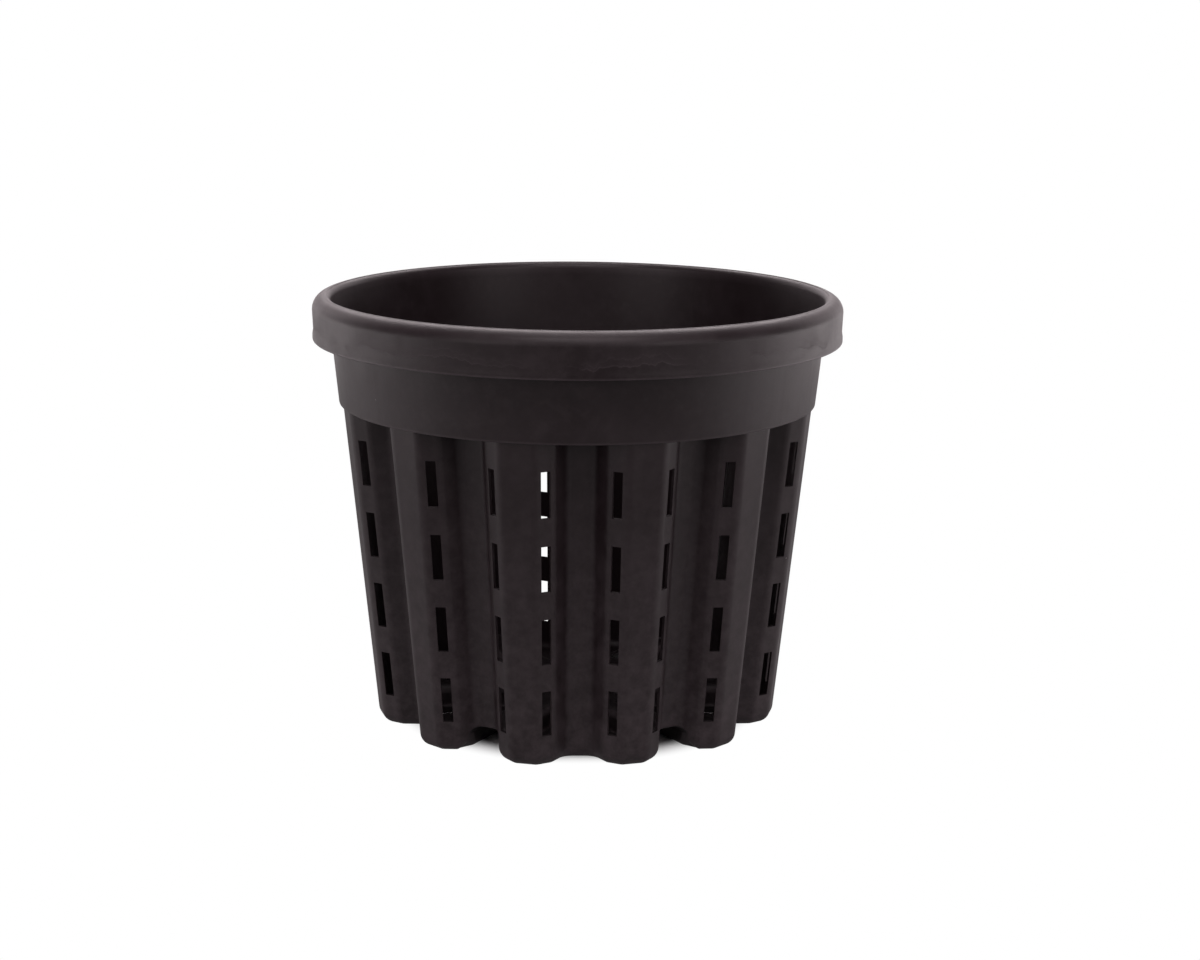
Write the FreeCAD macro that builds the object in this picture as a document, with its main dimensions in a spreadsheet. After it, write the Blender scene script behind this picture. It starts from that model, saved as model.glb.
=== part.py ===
"""An air pruning pot: one thin-walled moulding in millimetres, standing on its feet at z = 0.

A smooth band hangs under a rolled lip. Below the band the wall is folded into lobes and valleys,
with a column of air slots on both flanks of every lobe, and raised channels cross the base.
The pot is made the way its mould makes it: an outer form, less an inner form one wall smaller.
"""
import FreeCAD, Part
import math
import os
import Sketcher

doc = FreeCAD.newDocument("pruning_pot")

# Driving dimensions, in millimetres, degrees and counts
SIZES = {
    # Lip and mouth
    "pot_height": 260.0,
    "lip_radius": 160.0,
    "lip_height": 25.0,
    "lip_crest": 8.4,
    "lip_wall": 2.2,
    "lip_bead": 0.5,
    "bead_height": 3.0,
    "mouth_edge": 1.2,
    # Smooth band between the lip and the ledge
    "wall": 2.4,
    "band_top_radius": 151.25,
    "band_foot_radius": 144.7,
    "ledge_height": 195.0,
    "ledge_web": 2.4,
    # Folded wall: angles from a lobe's middle, and distances from the axis at the foot and the ledge
    "lobe_count": 12,
    "flank_angle": 42.0,
    "side_angle": 73.0,
    "crown_foot": 123.4,
    "crown_ledge": 142.8,
    "flank_foot": 97.0,
    "flank_ledge": 113.4,
    "side_foot": 49.9,
    "side_ledge": 58.8,
    "valley_foot": 105.2,
    "valley_ledge": 123.8,
    "shoulder_radius": 7.5,
    "bend_radius": 8.0,
    "corner_radius": 6.0,
    "foot_bevel": 3.6,
    # Air slots on the flanks
    "slot_aside_foot": 12.7,
    "slot_aside_ledge": 16.1,
    "slot_width": 6.0,
    "slot_height": 27.5,
    "slot_bottom": 19.0,
    "slot_pitch": 44.0,
    "slot_rows": 4,
    # Channels and hub of the base
    "channel_count": 6,
    "channel_width": 21.0,
    "channel_height": 14.7,
    "channel_crest": 6.5,
    "hub_radius": 30.0,
    # Drain openings of the base
    "drain_width": 6.0,
    "foot_drain_radius": 92.0,
    "foot_drain_length": 26.0,
    "floor_drain_radius": 60.0,
    "floor_drain_length": 22.0,
    "roof_drain_radius": 66.0,
    "roof_drain_length": 30.0,
    "hub_hole_radius": 6.0,
}

# How far a cutter starts outside the face that it cuts
OVERLAP = 1.0
SLOT_REACH = 5.0
# The plain heart of the folded forms, as shares of the valley's radius at the foot
HEART_SHARE = 0.7
LOBE_ROOT_SHARE = 0.5
# How near two lengths are where they count as the same, and the least slope of a side face's normal
NEAR = 1e-3
STEEP = 0.5
# The lip's quarter round has this many flats, to keep its facets few
CREST_FLATS = 4

sheet = doc.addObject("Spreadsheet::Sheet", "sizes")
for row, (name, value) in enumerate(SIZES.items(), 1):
    sheet.set(f"A{row}", name)
    sheet.set(f"B{row}", str(value))
    sheet.setAlias(f"B{row}", name)
doc.recompute()


def value_of(formula):
    """The number that a formula of the sheet's names gives now."""
    result = sheet.evalExpression(formula)
    return float(getattr(result, "Value", result))


# Formulas that several features share
HALF_PITCH = "180 / sizes.lobe_count"
CAVITY_FLOOR = "sizes.wall"
CAVITY_LEDGE = "(sizes.ledge_height + sizes.ledge_web)"
LIP_FOOT = "(sizes.pot_height - sizes.lip_height)"
HEART = f"{HEART_SHARE} * sizes.valley_foot"
FOLD_FACES = (
    # Name of a kind of face in the sizes, and the direction it looks in from its lobe's middle
    ("crown", "0"),
    ("flank", "sizes.flank_angle"),
    ("side", "sizes.side_angle"),
    ("valley", HALF_PITCH),
)
# From the least draft to the most
DRAFT_ORDER = ("side", "flank", "valley", "crown")


def on_band(height):
    """The band's outer radius at a height."""
    rise = f"(({height}) - sizes.ledge_height) / (sizes.pot_height - sizes.ledge_height)"
    return f"(sizes.band_foot_radius + (sizes.band_top_radius - sizes.band_foot_radius) * {rise})"


def new_body(label):
    """A body and its origin planes and axes by role."""
    body = doc.addObject("PartDesign::Body", label)
    body.Label = label
    return body, {feature.Role: feature for feature in body.Origin.OriginFeatures}


def new_sketch(body, planes, plane, name, offset=None):
    """A sketch on an origin plane, moved and turned by formulas for parts of its offset."""
    sketch = body.newObject("Sketcher::SketchObject", name)
    sketch.AttachmentSupport = [(planes[plane], "")]
    sketch.MapMode = "FlatFace"
    for path, formula in (offset or {}).items():
        sketch.setExpression(f"AttachmentOffset.{path}", formula)
    return sketch


def flat(x, y):
    """A point of a sketch."""
    return FreeCAD.Vector(x, y, 0)


def constrain(sketch, kind, *places, formula=None, name=None):
    """Adds a constraint, and ties its value to a formula where it has one."""
    if formula is None:
        sketch.addConstraint(Sketcher.Constraint(kind, *places))
        return
    amount = value_of(formula)
    if kind == "Angle":
        amount = math.radians(amount)
    index = sketch.addConstraint(Sketcher.Constraint(kind, *places, amount))
    sketch.renameConstraint(index, name)
    sketch.setExpression(f"Constraints.{name}", formula)


def pin(sketch, line, end, across, up, name):
    """Holds a point at its distances from the sketch's two axes, on the side where it lies."""
    for kind, axis, formula, letter in (("DistanceX", -2, across, "x"), ("DistanceY", -1, up, "y")):
        amount = value_of(formula)
        if abs(amount) < 1e-9:
            constrain(sketch, "PointOnObject", line, end, axis)
        elif amount > 0:
            constrain(sketch, kind, -1, 1, line, end, formula=formula, name=f"{name}_{letter}")
        else:
            constrain(sketch, kind, line, end, -1, 1, formula=f"-({formula})", name=f"{name}_{letter}")


def short_arc(centre, start, finish):
    """The arc from one point to another that turns less than half a circle, and its direction."""
    begin = math.atan2(start[1] - centre[1], start[0] - centre[0])
    end = math.atan2(finish[1] - centre[1], finish[0] - centre[0])
    radius = math.hypot(start[0] - centre[0], start[1] - centre[1])
    circle = Part.Circle(flat(*centre), FreeCAD.Vector(0, 0, 1), radius)
    leftwards = (end - begin) % (2 * math.pi) < math.pi
    if not leftwards:
        begin, end = end, begin
    return Part.ArcOfCircle(circle, begin, end), leftwards


def draw_outline(sketch, corners):
    """A closed outline through named corners.

    Each corner is (name, across, up) with formulas, or (name, across, up, centre across,
    centre up, radius) where an arc leads to it from the corner before.
    """
    spots = [(value_of(corner[1]), value_of(corner[2])) for corner in corners]
    ends = []
    for index, corner in enumerate(corners):
        start, finish = spots[index - 1], spots[index]
        if len(corner) == 3:
            line = sketch.addGeometry(Part.LineSegment(flat(*start), flat(*finish)), False)
            ends.append((line, 1, 2))
        else:
            centre = (value_of(corner[3]), value_of(corner[4]))
            arc, leftwards = short_arc(centre, start, finish)
            line = sketch.addGeometry(arc, False)
            ends.append((line, 1, 2) if leftwards else (line, 2, 1))
    for index, corner in enumerate(corners):
        line, _, finish = ends[index]
        following, start, _ = ends[(index + 1) % len(corners)]
        constrain(sketch, "Coincident", line, finish, following, start)
        pin(sketch, line, finish, corner[1], corner[2], corner[0])
        if len(corner) > 3:
            constrain(sketch, "Radius", line, formula=corner[5], name=f"{corner[0]}_radius")


def crossing(one, other):
    """Where two lines meet, each given by the angle of its normal and its distance from the origin."""
    (first, reach), (second, further) = one, other
    turn = math.sin(second - first)
    return ((reach * math.sin(second) - further * math.sin(first)) / turn,
            (further * math.cos(first) - reach * math.cos(second)) / turn)


def lobe_section(body, planes, inset):
    """One lobe's straight-sided section at the floor, from one valley's middle to the next, and its corners."""
    facing = [(angle, f"sizes.{face}_foot - {inset}") for face, angle in FOLD_FACES]
    facing.append((f"90 + {HALF_PITCH}", f"{OVERLAP}"))
    facing.append(("0", f"{LOBE_ROOT_SHARE} * sizes.valley_foot"))
    sides = [(math.radians(value_of(angle)), value_of(reach)) for angle, reach in facing]
    upper = [crossing(one, other) for one, other in zip(sides, sides[1:])]
    lower = [(x, -y) for x, y in upper]
    sketch = new_sketch(body, planes, "XY_Plane", "lobe_section", {"Rotation.Yaw": HALF_PITCH})
    corners = [lower[0], *upper, *reversed(lower[1:])]
    count = len(corners)
    for index, start in enumerate(corners):
        finish = corners[(index + 1) % count]
        sketch.addGeometry(Part.LineSegment(flat(*start), flat(*finish)), False)
    for index in range(count):
        constrain(sketch, "Coincident", index, 2, (index + 1) % count, 1)
    for index in range(len(upper)):
        constrain(sketch, "Symmetric", index, 2, (count - index) % count, 1, -1)
    root = len(upper)
    constrain(sketch, "DistanceX", -1, 1, 0, 1, formula=facing[0][1], name="crown_distance")
    constrain(sketch, "DistanceX", -1, 1, root, 1, formula=facing[-1][1], name="root_distance")
    for index in range(1, root):
        angle, reach = facing[index]
        constrain(sketch, "Angle", index, formula=f"90 + {angle}", name=f"direction_{index}")
        constrain(sketch, "Distance", -1, 1, index, formula=reach, name=f"distance_{index}")
    return sketch, upper[:3]


def patterned(body, planes, originals, name, count):
    """Copies of features all round the pot's axis."""
    pattern = body.newObject("PartDesign::PolarPattern", name)
    pattern.Originals = originals
    pattern.Axis = (planes["Z_Axis"], [""])
    pattern.Angle = 360
    pattern.setExpression("Occurrences", count)
    body.Tip = pattern
    doc.recompute()
    return pattern


def faces_at(shape, distances):
    """Names of the flat side faces that meet the floor's plane at one of the distances from the axis."""
    names = []
    for index, face in enumerate(shape.Faces, 1):
        if face.Surface.TypeId != "Part::GeomPlane":
            continue
        normal = face.Surface.Axis
        across = math.hypot(normal.x, normal.y)
        if across < STEEP:
            continue
        foot = abs(face.Vertexes[0].Point.dot(normal)) / across
        if any(abs(foot - distance) < NEAR for distance in distances):
            names.append(f"Face{index}")
    return names


def long_edges(shape, height, radius):
    """Names of the edges that climb a folded form from a distance from the axis at its foot."""
    names = []
    for index, edge in enumerate(shape.Edges, 1):
        foot = min((vertex.Point for vertex in edge.Vertexes), key=lambda point: point.z)
        top = max(vertex.Point.z for vertex in edge.Vertexes)
        climbs = foot.z < NEAR and top > height - NEAR
        if climbs and abs(math.hypot(foot.x, foot.y) - radius) < NEAR:
            names.append(f"Edge{index}")
    return names


def folded_form(body, planes, height, inset):
    """The lobed solid up from the floor: lobes about a plain heart, drafted and rounded."""
    heart = body.newObject("PartDesign::AdditiveCylinder", "heart")
    heart.setExpression("Radius", HEART)
    heart.setExpression("Height", height)
    section, corners = lobe_section(body, planes, inset)
    lobe = body.newObject("PartDesign::Pad", "lobe")
    lobe.Profile = (section, [""])
    lobe.setExpression("Length", height)
    form = patterned(body, planes, [lobe], "lobes", "sizes.lobe_count")

    # Drafts from the foot upwards, each for the faces that lean that far out or further
    for index, face in enumerate(DRAFT_ORDER):
        distances = [value_of(f"sizes.{steeper}_foot - {inset}") for steeper in DRAFT_ORDER[index:]]
        draft = body.newObject("PartDesign::Draft", f"{face}_draft")
        draft.Base = (form, faces_at(form.Shape, distances))
        draft.NeutralPlane = (planes["XY_Plane"], [""])
        draft.Reversed = True
        draft.setExpression("Angle", f"atan((sizes.{face}_ledge - sizes.{face}_foot) / sizes.ledge_height)")
        body.Tip = draft
        doc.recompute()
        form = draft

    # Rounded shoulders, bends and valley corners
    radii = (
        ("shoulders", f"sizes.shoulder_radius - {inset}"),
        ("bends", f"sizes.bend_radius - {inset}"),
        ("valley_corners", f"sizes.corner_radius + {inset}"),
    )
    for (name, radius), corner in zip(radii, corners):
        edges = long_edges(form.Shape, value_of(height), math.hypot(*corner))
        form = rounded(body, form, edges, name, radius)
    return form


def rounded(body, base, edges, name, radius):
    """Rounds edges of a feature."""
    rounding = body.newObject("PartDesign::Fillet", name)
    rounding.Base = (base, edges)
    rounding.setExpression("Radius", radius)
    body.Tip = rounding
    doc.recompute()
    return rounding


def bevelled_foot(body, base, height, size):
    """Bevels the edge all round the underside of a folded form."""
    level = value_of(height)
    around = [f"Edge{index}" for index, edge in enumerate(base.Shape.Edges, 1)
              if abs(edge.BoundBox.ZMin - level) < NEAR and abs(edge.BoundBox.ZMax - level) < NEAR]
    bevel = body.newObject("PartDesign::Chamfer", "foot_bevel")
    bevel.Base = (base, around)
    bevel.setExpression("Size", size)
    body.Tip = bevel
    doc.recompute()


def turned(body, planes, sketch, name):
    """A full turn of a sketch of radii and heights about the pot's axis."""
    solid = body.newObject("PartDesign::Revolution", name)
    solid.Profile = (sketch, [""])
    solid.ReferenceAxis = (planes["Z_Axis"], [""])
    solid.Angle = 360
    body.Tip = solid
    doc.recompute()
    return solid


def pocketed(body, sketch, name, depth, reverse):
    """A cut from a sketch to a depth, which has to take something away."""
    before = body.Tip.Shape.Volume
    cut = body.newObject("PartDesign::Pocket", name)
    cut.Profile = (sketch, [""])
    cut.Type = "Length"
    cut.setExpression("Length", depth)
    cut.Reversed = reverse
    body.Tip = cut
    doc.recompute()
    if cut.Shape.isNull() or cut.Shape.Volume > before - 1.0:
        raise RuntimeError(f"{name} cuts nothing")
    return cut


def round_crest(crest_radius, crest):
    """Corners of the lip's quarter round, as short flats on its circle from the outer face to the top."""
    angles = [90 * step / CREST_FLATS for step in range(1, CREST_FLATS + 1)]
    return [
        (f"crest_{index}", f"{crest_radius} + sizes.lip_crest * cos({angle:g}deg)",
         f"{crest} + sizes.lip_crest * sin({angle:g}deg)")
        for index, angle in enumerate(angles, 1)
    ]


def rim_outline(sketch):
    """The solid form of band and lip: radii across, heights up."""
    roof = "(sizes.pot_height - sizes.lip_wall)"
    crest = "(sizes.pot_height - sizes.lip_crest)"
    crest_radius = "(sizes.lip_radius - sizes.lip_crest)"
    gap_radius = "(sizes.lip_radius - sizes.lip_wall)"
    draw_outline(sketch, [
        ("axis_low", "0", "sizes.ledge_height"),
        ("ledge", "sizes.band_foot_radius", "sizes.ledge_height"),
        ("gap_inner", on_band(roof), roof),
        ("gap_roof", crest_radius, roof),
        ("gap_outer", gap_radius, crest),
        ("lip_inner_foot", f"{gap_radius} - sizes.lip_bead", LIP_FOOT),
        ("bead_foot", "sizes.lip_radius", LIP_FOOT),
        ("bead_top", "sizes.lip_radius", f"{LIP_FOOT} + sizes.bead_height"),
        ("lip_waist", "sizes.lip_radius - sizes.lip_bead", f"{LIP_FOOT} + 2 * sizes.bead_height"),
        ("lip_face", "sizes.lip_radius", crest),
        *round_crest(crest_radius, crest),
        ("axis_high", "0", "sizes.pot_height"),
    ])


def mouth_outline(sketch):
    """The space inside the band, up to the rounded inner edge of the mouth."""
    mouth = f"({on_band('sizes.pot_height')} - sizes.wall)"
    turn = "(sizes.pot_height - sizes.mouth_edge)"
    above = f"sizes.pot_height + {OVERLAP}"
    draw_outline(sketch, [
        ("axis_low", "0", CAVITY_LEDGE),
        ("web_edge", f"{on_band(CAVITY_LEDGE)} - sizes.wall", CAVITY_LEDGE),
        ("mouth_low", mouth, turn),
        ("mouth_high", f"{mouth} + sizes.mouth_edge", "sizes.pot_height"),
        ("mouth_above", f"{mouth} + sizes.mouth_edge", above),
        ("axis_high", "0", above),
    ])


def channel_outline(sketch):
    """The bell-shaped section of a channel under the base, bevelled at its feet."""
    side = "(sizes.channel_width / 2)"
    skirt = f"({side} + sizes.foot_bevel)"
    roof_side = f"({side} - sizes.channel_crest)"
    crest = "(sizes.channel_height - sizes.channel_crest)"
    draw_outline(sketch, [
        ("left_low", f"-{skirt}", f"-{OVERLAP}"),
        ("right_low", skirt, f"-{OVERLAP}"),
        ("right_foot", skirt, "0"),
        ("right_side", side, "sizes.foot_bevel"),
        ("right_crest", side, crest),
        ("roof_right", roof_side, "sizes.channel_height", roof_side, crest, "sizes.channel_crest"),
        ("roof_left", f"-{roof_side}", "sizes.channel_height"),
        ("left_crest", f"-{side}", crest, f"-{roof_side}", crest, "sizes.channel_crest"),
        ("left_side", f"-{side}", "sizes.foot_bevel"),
        ("left_foot", f"-{skirt}", "0"),
    ])


def ridge_outline(sketch):
    """The section of the ridge that a channel makes on the floor inside, one wall larger."""
    side = "(sizes.channel_width / 2 + sizes.wall)"
    round_radius = "(sizes.channel_crest + sizes.wall)"
    roof = "(sizes.channel_height + sizes.wall)"
    roof_side = f"({side} - {round_radius})"
    crest = f"({roof} - {round_radius})"
    below = f"sizes.wall - {OVERLAP}"
    draw_outline(sketch, [
        ("left_low", f"-{side}", below),
        ("right_low", side, below),
        ("right_crest", side, crest),
        ("roof_right", roof_side, roof, roof_side, crest, round_radius),
        ("roof_left", f"-{roof_side}", roof),
        ("left_crest", f"-{side}", crest, f"-{roof_side}", crest, round_radius),
    ])


def drain_outline(sketch, radius, length):
    """A square-ended opening that points at the pot's axis."""
    near = f"({radius} - {length} / 2)"
    far = f"({radius} + {length} / 2)"
    side = "(sizes.drain_width / 2)"
    draw_outline(sketch, [
        ("near_right", near, f"-{side}"),
        ("far_right", far, f"-{side}"),
        ("far_left", far, side),
        ("near_left", near, side),
    ])


def round_hole(sketch, radius):
    """A circle about the pot's axis."""
    circle = Part.Circle(flat(0, 0), FreeCAD.Vector(0, 0, 1), value_of(radius))
    sketch.addGeometry(circle, False)
    constrain(sketch, "Coincident", 0, 3, -1, 1)
    constrain(sketch, "Radius", 0, formula=radius, name="radius")


def make_inner_form():
    """The space inside the pot, as a solid: mouth, folded cavity and the ridges' grooves."""
    body, planes = new_body("inner_form")
    folded_form(body, planes, f"{CAVITY_LEDGE} + {OVERLAP}", "sizes.wall")
    floor = new_sketch(body, planes, "XY_Plane", "floor_plan")
    round_hole(floor, "sizes.crown_foot + sizes.wall")
    lobes = pocketed(body, floor, "floor", CAVITY_FLOOR, True)
    bevelled_foot(body, lobes, CAVITY_FLOOR, "sizes.foot_bevel - (2 - sqrt(2)) * sizes.wall")
    mouth = new_sketch(body, planes, "XZ_Plane", "mouth_profile")
    mouth_outline(mouth)
    turned(body, planes, mouth, "mouth")
    ridge = new_sketch(body, planes, "YZ_Plane", "ridge_profile")
    ridge_outline(ridge)
    groove = pocketed(body, ridge, "ridge", "sizes.crown_foot + sizes.wall", True)
    patterned(body, planes, [groove], "ridges", "sizes.channel_count")
    hub = new_sketch(body, planes, "XY_Plane", "hub_plan")
    round_hole(hub, "sizes.hub_radius + sizes.wall")
    pocketed(body, hub, "hub", "sizes.channel_height + sizes.wall", True)
    return body


def make_pot(inner_form):
    """The moulding itself."""
    body, planes = new_body("pot")
    lobes = folded_form(body, planes, "sizes.ledge_height", "0")
    bevelled_foot(body, lobes, "0", "sizes.foot_bevel")
    rim = new_sketch(body, planes, "XZ_Plane", "rim_profile")
    rim_outline(rim)
    turned(body, planes, rim, "rim")

    # Channels and hub recess under the base
    channel = new_sketch(body, planes, "YZ_Plane", "channel_profile")
    channel_outline(channel)
    channel_cut = pocketed(body, channel, "channel", "sizes.crown_foot + sizes.wall", True)
    patterned(body, planes, [channel_cut], "channels", "sizes.channel_count")
    hub = new_sketch(body, planes, "XY_Plane", "hub_plan")
    round_hole(hub, "sizes.hub_radius")
    pocketed(body, hub, "hub", "sizes.channel_height", True)

    # Drain openings in the feet, in the floor, in the channels' roofs and in the hub
    openings = (
        ("foot_drain", HALF_PITCH, "sizes.foot_drain_radius", "sizes.foot_drain_length"),
        ("floor_drain", "180 / sizes.channel_count", "sizes.floor_drain_radius", "sizes.floor_drain_length"),
        ("roof_drain", "0", "sizes.roof_drain_radius", "sizes.roof_drain_length"),
    )
    depth = f"sizes.channel_height + sizes.wall + {OVERLAP}"
    cuts = []
    for label, turn, radius, length in openings:
        plan = new_sketch(body, planes, "XY_Plane", f"{label}_plan", {"Rotation.Yaw": turn})
        drain_outline(plan, radius, length)
        cuts.append(pocketed(body, plan, label, depth, True))
    hole = new_sketch(body, planes, "XY_Plane", "hub_hole_plan")
    round_hole(hole, "sizes.hub_hole_radius")
    pocketed(body, hole, "hub_hole", depth, True)
    patterned(body, planes, cuts[:1], "foot_drains", "sizes.lobe_count")
    patterned(body, planes, cuts[1:], "floor_and_roof_drains", "sizes.channel_count")

    # Air slots: one on a flank of the first lobe, then rows, the other flank and all lobes
    turn = "(sizes.flank_angle * 1deg)"
    aside = "sizes.slot_aside_foot"
    out = f"((sizes.flank_foot - {aside} * sin{turn}) / cos{turn})"
    half = f"({HALF_PITCH} * 1deg)"
    facing = f"({HALF_PITCH} + sizes.flank_angle)"
    out_run = "(sizes.flank_ledge - sizes.flank_foot)"
    side_run = f"((sizes.slot_aside_ledge - {aside} - {out_run} * sin{turn}) / cos{turn})"
    slot = new_sketch(body, planes, "XY_Plane", "slot_profile", {
        "Rotation.Yaw": f"{facing} + 90",
        "Rotation.Pitch": f"atan({side_run} / sizes.ledge_height)",
        "Rotation.Roll": f"90deg + atan({out_run} / sizes.ledge_height)",
        "Base.x": f"{out} * cos{half} - {aside} * sin{half} + {SLOT_REACH} * cos({facing} * 1deg)",
        "Base.y": f"{out} * sin{half} + {aside} * cos{half} + {SLOT_REACH} * sin({facing} * 1deg)",
    })
    edge = "(sizes.slot_width / 2)"
    top = "(sizes.slot_bottom + sizes.slot_height)"
    draw_outline(slot, [
        ("left_low", f"-{edge}", "sizes.slot_bottom"),
        ("right_low", edge, "sizes.slot_bottom"),
        ("right_high", edge, top),
        ("left_high", f"-{edge}", top),
    ])
    first_slot = pocketed(body, slot, "slot", f"2 * {SLOT_REACH}", False)
    slots = body.newObject("PartDesign::MultiTransform", "slots")
    slots.Originals = [first_slot]
    rows = body.newObject("PartDesign::LinearPattern", "slot_rows")
    rows.Direction = (slot, ["V_Axis"])
    rows.Mode = "Spacing"
    rows.setExpression("Offset", "sizes.slot_pitch")
    rows.setExpression("Occurrences", "sizes.slot_rows")
    flanks = body.newObject("PartDesign::Mirrored", "both_flanks")
    flanks.MirrorPlane = (planes["XZ_Plane"], [""])
    around = body.newObject("PartDesign::PolarPattern", "slot_columns")
    around.Axis = (planes["Z_Axis"], [""])
    around.Angle = 360
    around.setExpression("Occurrences", "sizes.lobe_count")
    slots.Transformations = [rows, flanks, around]
    body.Tip = slots
    doc.recompute()

    # The inside
    hollow = body.newObject("PartDesign::Boolean", "hollow")
    hollow.Type = "Cut"
    hollow.setObjects([inner_form])
    body.Tip = hollow
    doc.recompute()

    return body


def check(bodies):
    """Stops where an object failed or a body is empty or broken."""
    for item in doc.Objects:
        if "Invalid" in item.State or "Error" in item.State:
            raise RuntimeError(f"{item.Name} failed")
    for body in bodies:
        if body.Shape.isNull() or not body.Shape.isValid():
            raise RuntimeError(f"{body.Label} has no valid shape")


inner = make_inner_form()
pot = make_pot(inner)
doc.recompute()
check([inner, pot])
os.makedirs("parts", exist_ok=True)
pot.Shape.exportStep("parts/pot.step")
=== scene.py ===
"""An air pruning pot in black polypropylene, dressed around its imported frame. Lengths are in metres.

The pot is one moulding that repeats round its axis, so one twelfth of it is built as a mesh and a
Geometry Nodes tree mirrors it, repeats it and welds it. The stage gives floor, lights and camera.
"""
import math

import bmesh
import bpy
from bpy.props import FloatProperty, FloatVectorProperty, IntProperty, PointerProperty
from mathutils import Matrix, Vector
from mathutils.geometry import delaunay_2d_cdt


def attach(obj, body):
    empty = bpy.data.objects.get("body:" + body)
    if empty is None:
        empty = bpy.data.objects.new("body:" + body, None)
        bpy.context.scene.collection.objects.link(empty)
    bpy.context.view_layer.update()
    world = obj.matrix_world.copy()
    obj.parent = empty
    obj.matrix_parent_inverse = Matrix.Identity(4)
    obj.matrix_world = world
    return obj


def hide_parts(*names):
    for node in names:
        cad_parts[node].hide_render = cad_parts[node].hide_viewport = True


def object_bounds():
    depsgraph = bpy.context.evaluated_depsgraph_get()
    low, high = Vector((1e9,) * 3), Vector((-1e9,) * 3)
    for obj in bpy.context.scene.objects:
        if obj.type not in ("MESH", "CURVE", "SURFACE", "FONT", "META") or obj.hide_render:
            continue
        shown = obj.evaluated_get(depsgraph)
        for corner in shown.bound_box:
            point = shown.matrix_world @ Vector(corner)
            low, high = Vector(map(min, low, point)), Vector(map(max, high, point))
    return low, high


bl_info = {
    "name": "Air pruning pot",
    "version": (1, 0, 0),
    "blender": (4, 5, 0),
    "location": "3D View > Sidebar > Pruning Pot",
    "description": "Moulds a lobed air pruning pot with slotted flanks and sets its studio stage",
    "category": "Add Mesh",
}

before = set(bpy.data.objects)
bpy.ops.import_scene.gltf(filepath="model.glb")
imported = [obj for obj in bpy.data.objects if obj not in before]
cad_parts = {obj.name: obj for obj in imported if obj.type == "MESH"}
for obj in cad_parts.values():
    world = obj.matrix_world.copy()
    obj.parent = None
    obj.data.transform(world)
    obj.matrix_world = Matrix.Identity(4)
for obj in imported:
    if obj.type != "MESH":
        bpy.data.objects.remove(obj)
CAD_BOX = [list(corner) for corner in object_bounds()]
MM = 0.001

# How finely the curves of the moulding are divided
SHOULDER_STEPS = 8
BEND_STEPS = 6
CORNER_STEPS = 6
FOOT_STEPS = 7
CREST_STEPS = 8
GAP_STEPS = 4
EDGE_STEPS = 3
MOUTH_STEPS = 6
HUB_HOLE_STEPS = 3
# How often a foot's height and its place on the tapering wall are worked out from each other
ARCH_SETTLING = 8
# Where the wall is divided near a channel's side, as distances from that side
SIDE_LINES = (0.9 * MM, 0.1 * MM, -0.2 * MM, -0.6 * MM)
# Share of the rounding along a channel's feet that is lost where the channel reaches the hub
HUB_NARROWING = 0.4
# Distances under which vertices are one, in the welded pot and in the base's flat parts
WELD = 0.01 * MM
NEAR = 1e-7
SHARP_ANGLE = math.radians(32)

# Painted highlight lines round lip foot, lip crest and ledge, where those edges catch the light: height,
# reach up and down, least radius, strength
PAINTED_HIGHLIGHT_BANDS = (
    (0.2342, 0.0011, 0.1585, 3.6),
    (0.2565, 0.0045, 0.145, 2.0),
    (0.1955, 0.0012, 0.1436, 2.2),
)
# Flow marks on the lip: mean height, waviness, width, share of dust
FLOW_MARKS = (
    (0.2420, 0.020, 0.00055, 0.50),
    (0.2455, 0.030, 0.0004, 0.30),
)
# Radius outside which the flow marks show
LIP_FACE = 0.1585
# The pale film above a flow mark: how high it reaches, and its strength beside the mark's
FILM_HEIGHT = 5 * MM
FILM_STRENGTH = 0.35
# Height above which dust settles on faces that look up. Those below are cut faces and the base, which
# get painted shade
LEDGE_LEVEL = 195 * MM
# Heights between which the painted shade low on the inside wall fades out upward, and how dark that
# painted shade is. The shaded part carries no dust
DEEP_LEVELS = (0.10, 0.17)
DEEP_SHARE = 0.55

WHITE = (1.0, 1.0, 1.0, 1.0)
PALE = (0.9, 0.9, 0.9, 1.0)
SENSOR_WIDTH = 36.0


def length(name, description, default):
    """A length that a user may change."""
    return FloatProperty(name=name, description=description, default=default, min=0.0,
                         unit="LENGTH", precision=5)


def turn(name, description, degrees):
    """An angle that a user may change."""
    return FloatProperty(name=name, description=description, default=math.radians(degrees),
                         subtype="ANGLE")


def tint(name, description, default):
    """A colour that a user may change."""
    return FloatVectorProperty(name=name, description=description, default=default, size=3,
                               subtype="COLOR", min=0.0, max=1.0)


def fraction(name, description, default, low=0.0):
    """A share of 1 that a user may change."""
    return FloatProperty(name=name, description=description, default=default, subtype="FACTOR",
                         min=low, max=1.0)


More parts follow.
